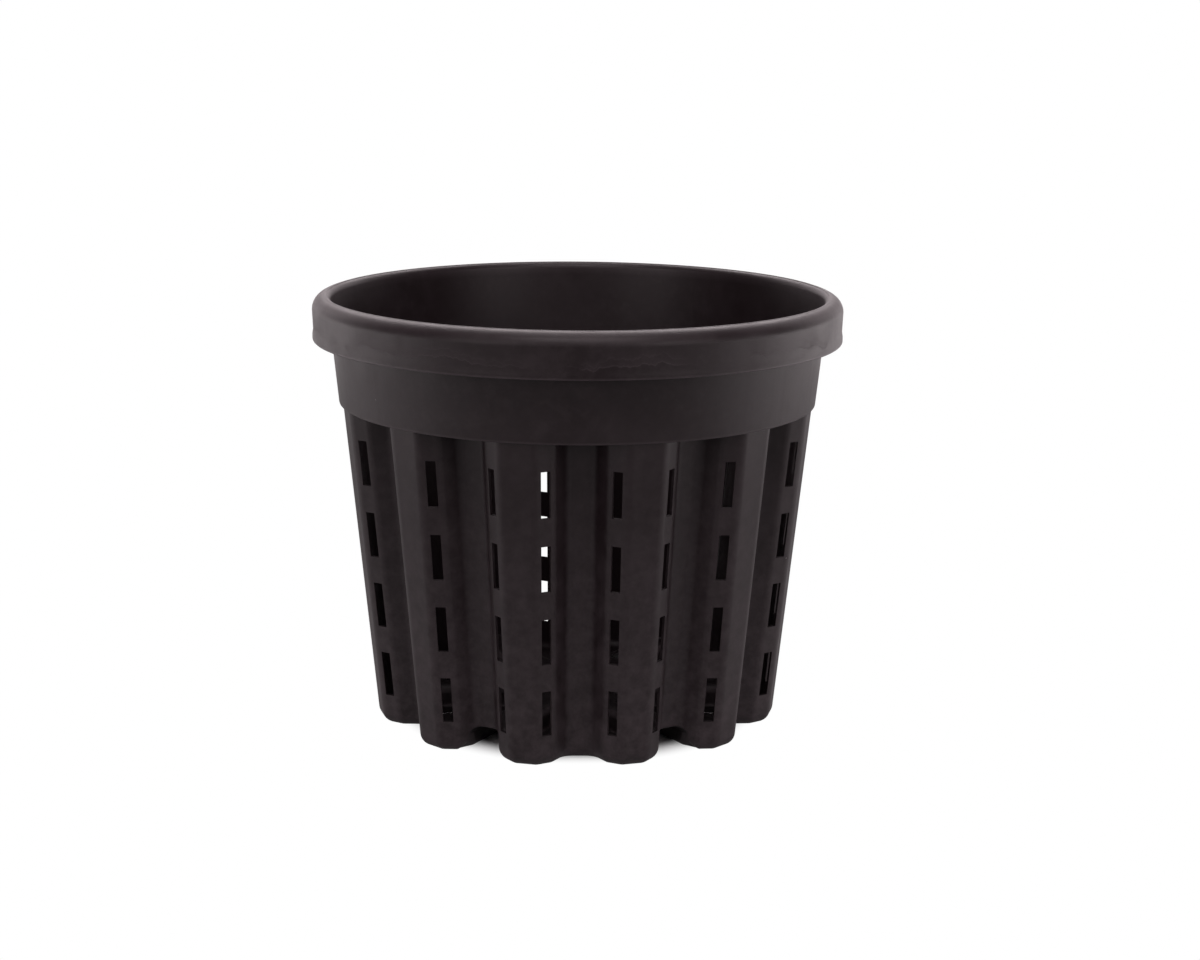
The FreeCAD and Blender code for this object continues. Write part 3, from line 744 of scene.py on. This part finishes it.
def draw_flow_mark(tree, given):
    """A thin wavy line with a faint film above it, as flowing plastic leaves, broken in places."""
    radius, height = radius_of(tree, given["Place"])
    flattened = node(tree, "ShaderNodeVectorMath", operation="MULTIPLY")
    flattened.inputs[1].default_value = (1.0, 1.0, 0.25)
    tree.links.new(given["Place"], flattened.inputs[0])
    flat = flattened.outputs[0]
    waves = noise(tree, flat, scale=42, detail=5, roughness=0.62)
    wander = sum_of(tree, "SUBTRACT", waves, 0.5)
    line = sum_of(tree, "MULTIPLY_ADD", wander, given["Waviness"], given["Level"])
    over = sum_of(tree, "SUBTRACT", height, line)
    apart = sum_of(tree, "ABSOLUTE", over)
    thin = sum_of(tree, "SUBTRACT", 1.0, sum_of(tree, "DIVIDE", apart, given["Width"]), clamp=True)
    fading = sum_of(tree, "SUBTRACT", 1.0, sum_of(tree, "DIVIDE", over, FILM_HEIGHT), clamp=True)
    film = sum_of(tree, "MULTIPLY", sum_of(tree, "GREATER_THAN", over, 0.0), fading)
    thin = sum_of(tree, "MAXIMUM", thin, sum_of(tree, "MULTIPLY", film, FILM_STRENGTH))
    broken = ramp(tree, noise(tree, flat, scale=19, detail=3), 0.38, 0.54)
    outside = sum_of(tree, "GREATER_THAN", radius, given["Outside Radius"])
    return sum_of(tree, "MULTIPLY", sum_of(tree, "MULTIPLY", thin, broken), outside)


def draw_specks(tree, given):
    """A few tiny pale specks of dust."""
    cells = node(tree, "ShaderNodeTexVoronoi")
    cells.inputs["Scale"].default_value = 95.0
    tree.links.new(given["Place"], cells.inputs["Vector"])
    parts = node(tree, "ShaderNodeSeparateXYZ")
    tree.links.new(cells.outputs["Color"], parts.inputs[0])
    chosen = sum_of(tree, "GREATER_THAN", parts.outputs["X"], 0.90)
    reach = sum_of(tree, "MULTIPLY", parts.outputs["Y"], given["Size"])
    dot = sum_of(tree, "LESS_THAN", cells.outputs["Distance"], reach)
    return sum_of(tree, "MULTIPLY", dot, chosen)


def draw_paler_towards_bottom(tree, given):
    """Paler in grainy patches towards the bottom, fading out with height."""
    _, height = radius_of(tree, given["Place"])
    low = sum_of(tree, "SUBTRACT", 1.0, sum_of(tree, "DIVIDE", height, given["Height"]), clamp=True)
    grains = noise(tree, given["Place"], scale=130, detail=6, roughness=0.7)
    return sum_of(tree, "MULTIPLY", sum_of(tree, "MULTIPLY", low, low), ramp(tree, grains, 0.25, 0.75))


def placed(tree, group, place, **values):
    """A pattern group in a material, with its own values, as its output."""
    made = node(tree, "ShaderNodeGroup")
    made.node_tree = group
    tree.links.new(place, made.inputs["Place"])
    for name, value in values.items():
        made.inputs[name.replace("_", " ")].default_value = value
    return made.outputs[0]


def blended(tree, mask, under, over):
    """A colour that a mask lays over another. Either may be a socket or a plain colour."""
    made = node(tree, "ShaderNodeMix", data_type="RGBA")
    tree.links.new(mask, made.inputs["Factor"])
    for label, value in (("A", under), ("B", over)):
        socket = next(s for s in made.inputs if s.name == label and s.type == "RGBA")
        if isinstance(value, bpy.types.NodeSocket):
            tree.links.new(value, socket)
        else:
            socket.default_value = (*value, 1.0)
    return next(s for s in made.outputs if s.type == "RGBA")


def plastic_material(finish):
    """Black polypropylene with fine grain, dust, smudges, painted highlight lines at lip and ledge,
    painted shade in the slots and deep inside, and flow marks on the lip.
    """
    grain = pattern_group("moulded_grain", "Height", [("Coarse", 0.6), ("Ripple", 0.5)], draw_grain)
    cloud = pattern_group("pale_clouds", "Mask", [], draw_cloud)
    smudge = pattern_group("dry_smudges", "Mask", [("Amount", 0.3)], draw_smudges)
    band = pattern_group("painted_highlight_level", "Mask", [("Level", 0.0), ("Reach", 0.001),
                                                  ("Outside Radius", 0.0)], draw_level)
    flow = pattern_group("flow_mark", "Mask", [("Level", 0.24), ("Waviness", 0.01), ("Width", 0.0005),
                                               ("Outside Radius", 0.0)], draw_flow_mark)
    speck = pattern_group("dust_specks", "Mask", [("Size", 0.04)], draw_specks)
    foot = pattern_group("paler_towards_bottom", "Mask", [("Height", 0.1)], draw_paler_towards_bottom)

    material = bpy.data.materials.new("black_polypropylene")
    material.use_nodes = True
    tree = material.node_tree
    shader = tree.nodes["Principled BSDF"]
    shader.location = (600, 0)
    tree.nodes["Material Output"].location = (900, 0)
    place = node(tree, "ShaderNodeTexCoord", (-1400, 0)).outputs["Object"]

    clouds = placed(tree, cloud, place)
    smudges = placed(tree, smudge, place, Amount=0.22)
    paler_low = placed(tree, foot, place, Height=0.32)
    bands = [placed(tree, band, place, Level=level, Reach=reach, Outside_Radius=least)
             for level, reach, least, _ in PAINTED_HIGHLIGHT_BANDS]
    marks = [placed(tree, flow, place, Level=level, Waviness=waves, Width=width, Outside_Radius=LIP_FACE)
             for level, waves, width, _ in FLOW_MARKS]
    specks = placed(tree, speck, place, Size=0.035)

    surface = node(tree, "ShaderNodeNewGeometry", (-1400, -400))
    parts = node(tree, "ShaderNodeSeparateXYZ", (-1200, -400))
    tree.links.new(surface.outputs["Normal"], parts.inputs[0])
    upward = ramp(tree, parts.outputs["Z"], 0.55, 0.98)
    _, level_here = radius_of(tree, place)
    above = sum_of(tree, "GREATER_THAN", level_here, LEDGE_LEVEL)
    settled = sum_of(tree, "MULTIPLY", upward, above)
    # Faces that look up below the ledge, the slots' sills and the base, get painted shade
    cut_faces = sum_of(tree, "SUBTRACT", upward, settled)
    # The inside wall low down gets painted shade too, fading out upward
    turned_in = node(tree, "ShaderNodeVectorMath", operation="DOT_PRODUCT")
    tree.links.new(surface.outputs["Normal"], turned_in.inputs[0])
    tree.links.new(place, turned_in.inputs[1])
    inward = sum_of(tree, "LESS_THAN", turned_in.outputs["Value"], 0.0)
    deep = sum_of(tree, "SUBTRACT", 1.0, ramp(tree, level_here, *DEEP_LEVELS))
    inner_wall = sum_of(tree, "MULTIPLY", sum_of(tree, "MULTIPLY", inward, deep), DEEP_SHARE)
    # Painted shade where either holds: a darker colour, no dust and less shine
    painted_shade = sum_of(tree, "MAXIMUM", cut_faces, inner_wall)

    # Each kind of wear, the paleness low down and the painted highlight lines at lip and ledge, with its
    # share of dust colour
    painted_highlights = layered(tree, 0.0, zip(bands, (strength for *_, strength in PAINTED_HIGHLIGHT_BANDS)))
    dust = layered(tree, 0.0, (
        (clouds, 0.12), (smudges, 0.13), (paler_low, 0.70), (settled, 0.16), (painted_highlights, 0.20),
        *zip(marks, (share for *_, share in FLOW_MARKS)),
    ))
    # No dust where the shade is painted
    dust = sum_of(tree, "SUBTRACT", dust, painted_shade, clamp=True)
    colour = blended(tree, dust, finish.plastic, finish.dust)
    colour = blended(tree, specks, colour, finish.specks)
    # Painted shade laid over the plastic in the slots, on the sills and low inside
    colour = blended(tree, painted_shade, colour, finish.painted_shade)
    tree.links.new(colour, shader.inputs["Base Color"])

    rough = layered(tree, finish.roughness, ((clouds, 0.05), (dust, 0.30), (cut_faces, 0.4)))
    # A little less rough along the painted highlight lines
    rough = sum_of(tree, "MULTIPLY_ADD", painted_highlights, -0.08, rough, clamp=True)
    tree.links.new(rough, shader.inputs["Roughness"])
    # Less shine where the shade is painted
    shine = sum_of(tree, "MULTIPLY_ADD", painted_shade, -0.4, 0.5, clamp=True)
    tree.links.new(shine, shader.inputs["Specular IOR Level"])

    height = placed(tree, grain, place, Coarse=0.6, Ripple=1.4)
    height = sum_of(tree, "MULTIPLY_ADD", marks[0], 0.6, height)
    bump = node(tree, "ShaderNodeBump", (300, -300))
    bump.inputs["Strength"].default_value = 0.35
    bump.inputs["Distance"].default_value = 0.00012
    tree.links.new(height, bump.inputs["Height"])
    tree.links.new(bump.outputs[0], shader.inputs["Normal"])
    return material


class PRUNINGPOT_OT_mould(bpy.types.Operator):
    """Moulds the pot and gives it its black plastic"""

    bl_idname = "pruning_pot.mould"
    bl_label = "Mould Pot"

    def execute(self, context):
        sizes = context.scene.pot_sizes
        material = plastic_material(context.scene.pot_finish)
        sector = bpy.data.objects.new("pot_sector", sector_mesh(sizes))
        context.scene.collection.objects.link(sector)
        tree, count, weld = repeat_tree(material)
        modifier = sector.modifiers.new("all_round", "NODES")
        modifier.node_group = tree
        modifier[count] = sizes.lobe_count // 2
        modifier[weld] = WELD
        pot = bpy.data.objects.new("moulded_pot", plain_mesh(sector, "moulded_pot"))
        context.scene.collection.objects.link(pot)
        bpy.data.objects.remove(sector, do_unlink=True)
        even = pot.modifiers.new("even_normals", "WEIGHTED_NORMAL")
        even.keep_sharp = True
        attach(pot, "root")
        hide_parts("pot")
        return {"FINISHED"}


def seen_directly(tree, glossy_share):
    """A mask of what the camera sees, straight or through glass, and for a share in what shines."""
    path = node(tree, "ShaderNodeLightPath", (-1400, -200))
    shine = sum_of(tree, "MULTIPLY", path.outputs["Is Glossy Ray"], glossy_share)
    seen = sum_of(tree, "MAXIMUM", path.outputs["Is Camera Ray"], shine)
    return sum_of(tree, "MAXIMUM", seen, path.outputs["Is Transmission Ray"])


def mixed(tree, mask, plain, seen, place):
    """Two shaders mixed by a mask."""
    mix = node(tree, "ShaderNodeMixShader", place)
    for index, socket in enumerate((mask, plain, seen)):
        tree.links.new(socket, mix.inputs[index])
    return mix.outputs[0]


def soft_light(context, name, place, size, power):
    """A large soft lamp that looks at the pot."""
    lamp = bpy.data.lights.new(name, "AREA")
    lamp.shape = "RECTANGLE"
    lamp.size, lamp.size_y = size
    lamp.energy = power
    lamp.color = context.scene.pot_stage.lamp_colour
    holder = bpy.data.objects.new(name, lamp)
    holder.location = place
    holder.rotation_euler = (LIT_PLACE - Vector(place)).to_track_quat("-Z", "Y").to_euler()
    context.scene.collection.objects.link(holder)


class PRUNINGPOT_OT_stage(bpy.types.Operator):
    """Sets the pale floor, the soft lights and the camera"""

    bl_idname = "pruning_pot.stage"
    bl_label = "Set Stage"

    def execute(self, context):
        settings = context.scene.pot_stage
        context.scene.view_settings.view_transform = "Standard"
        self.lay_floor(context, settings)
        self.light_world(context, settings)
        for name, place, size, power in LAMPS:
            soft_light(context, name, place, size, power)
        self.set_camera(context, settings)
        return {"FINISHED"}

    def lay_floor(self, context, settings):
        """A pale level floor that looks white, keeps the pot's soft shadow and isn't seen from below."""
        reach = settings.floor_reach
        mesh = bpy.data.meshes.new("studio_floor")
        corners = [(-reach, -reach), (reach, -reach), (reach, reach), (-reach, reach)]
        mesh.from_pydata([(x, y, -settings.floor_gap) for x, y in corners], [], [(0, 1, 2, 3)])
        floor = bpy.data.objects.new("studio_floor", mesh)
        context.scene.collection.objects.link(floor)
        material = bpy.data.materials.new("pale_floor")
        material.use_nodes = True
        tree = material.node_tree
        tree.nodes.remove(tree.nodes["Principled BSDF"])
        plain = node(tree, "ShaderNodeBsdfDiffuse", (-600, 300))
        place = node(tree, "ShaderNodeTexCoord", (-1600, 500)).outputs["Object"]
        # For what the pot reflects and for bounced light, the floor's colour is a painted pool of light,
        # from floor near close by to floor far further off
        away, _ = radius_of(tree, place)
        far = ramp(tree, away, settings.pool_full, settings.pool_end)
        painted_light_pool = blended(tree, far, settings.floor_near, settings.floor_far)
        tree.links.new(painted_light_pool, plain.inputs["Color"])
        pale = node(tree, "ShaderNodeBsdfDiffuse", (-600, 100))
        pale.inputs["Color"].default_value = PALE
        white = node(tree, "ShaderNodeEmission", (-600, -100))
        white.inputs["Color"].default_value = WHITE
        through = node(tree, "ShaderNodeBsdfTransparent", (-600, -250))
        side = node(tree, "ShaderNodeNewGeometry", (-200, 400))
        whitened = ramp(tree, away, settings.shadow_full, settings.shadow_end)
        shaded = mixed(tree, whitened, pale.outputs[0], white.outputs[0], (-400, 0))
        seen = seen_directly(tree, settings.floor_shine)
        top = mixed(tree, seen, plain.outputs[0], shaded, (-200, 100))
        whole = mixed(tree, side.outputs["Backfacing"], top, through.outputs[0], (0, 0))
        tree.links.new(whole, tree.nodes["Material Output"].inputs["Surface"])
        mesh.materials.append(material)

    def light_world(self, context, settings):
        """A dim even room that looks white to the camera."""
        world = bpy.data.worlds.new("studio")
        world.use_nodes = True
        context.scene.world = world
        tree = world.node_tree
        plain = tree.nodes["Background"]
        plain.inputs["Color"].default_value = WHITE
        plain.inputs["Strength"].default_value = settings.room_light
        white = node(tree, "ShaderNodeBackground", (-200, -200))
        # What shines sees the white backdrop behind and beside the pot, and a dim room in front of it
        camera_ray = node(tree, "ShaderNodeLightPath", (-1400, 300)).outputs["Is Camera Ray"]
        place = node(tree, "ShaderNodeTexCoord", (-1400, 600))
        parts = node(tree, "ShaderNodeSeparateXYZ", (-1200, 600))
        tree.links.new(place.outputs["Generated"], parts.inputs[0])
        behind = ramp(tree, parts.outputs["Y"], settings.backdrop_start, settings.backdrop_full)
        straight = sum_of(tree, "MAXIMUM", behind, camera_ray)
        shown = sum_of(tree, "MULTIPLY", seen_directly(tree, 1.0), straight)
        pure = blended(tree, camera_ray, settings.lamp_colour, WHITE[:3])
        tree.links.new(pure, white.inputs["Color"])
        both = mixed(tree, shown, plain.outputs[0], white.outputs[0], (100, 0))
        tree.links.new(both, tree.nodes["World Output"].inputs["Surface"])

    def set_camera(self, context, settings):
        """The camera that sees the pot as the photograph does, with its lens matched to a frame of 1200
        by 960.
        """
        lens = bpy.data.cameras.new("camera")
        lens.sensor_fit = "HORIZONTAL"
        lens.sensor_width = SENSOR_WIDTH
        lens.lens = settings.camera_lens
        camera = bpy.data.objects.new("camera", lens)
        context.scene.collection.objects.link(camera)
        context.scene.camera = camera
        around = Matrix.Rotation(settings.camera_around, 4, "Z")
        place = Matrix.Translation((0.0, -settings.camera_distance, settings.camera_height))
        yaw = Matrix.Rotation(-settings.camera_yaw, 4, "Z")
        dip = Matrix.Rotation(math.pi / 2 - settings.camera_dip, 4, "X")
        roll = Matrix.Rotation(settings.camera_roll, 4, "Z")
        camera.matrix_world = around @ place @ yaw @ dip @ roll


class PRUNINGPOT_PT_panel(bpy.types.Panel):
    """Sizes, finish and stage of the pot."""

    bl_label = "Air Pruning Pot"
    bl_idname = "PRUNINGPOT_PT_panel"
    bl_space_type = "VIEW_3D"
    bl_region_type = "UI"
    bl_category = "Pruning Pot"

    def draw(self, context):
        parts = (
            (PRUNINGPOT_OT_mould, (context.scene.pot_sizes, context.scene.pot_finish)),
            (PRUNINGPOT_OT_stage, (context.scene.pot_stage,)),
        )
        for operator, groups in parts:
            box = self.layout.box()
            box.operator(operator.bl_idname)
            for group in groups:
                for name in group.__annotations__:
                    box.prop(group, name)


CLASSES = (PotSizes, PotFinish, StageSettings, PRUNINGPOT_OT_mould, PRUNINGPOT_OT_stage,
           PRUNINGPOT_PT_panel)


def register():
    """Adds the classes and the scene's settings."""
    for item in CLASSES:
        bpy.utils.register_class(item)
    bpy.types.Scene.pot_sizes = PointerProperty(type=PotSizes)
    bpy.types.Scene.pot_finish = PointerProperty(type=PotFinish)
    bpy.types.Scene.pot_stage = PointerProperty(type=StageSettings)


def unregister():
    """Takes them away again."""
    del bpy.types.Scene.pot_stage
    del bpy.types.Scene.pot_finish
    del bpy.types.Scene.pot_sizes
    for item in reversed(CLASSES):
        bpy.utils.unregister_class(item)


def main():
    """Builds the stage and the pot."""
    register()
    bpy.ops.pruning_pot.stage()
    bpy.ops.pruning_pot.mould()


if __name__ == "__main__":
    main()
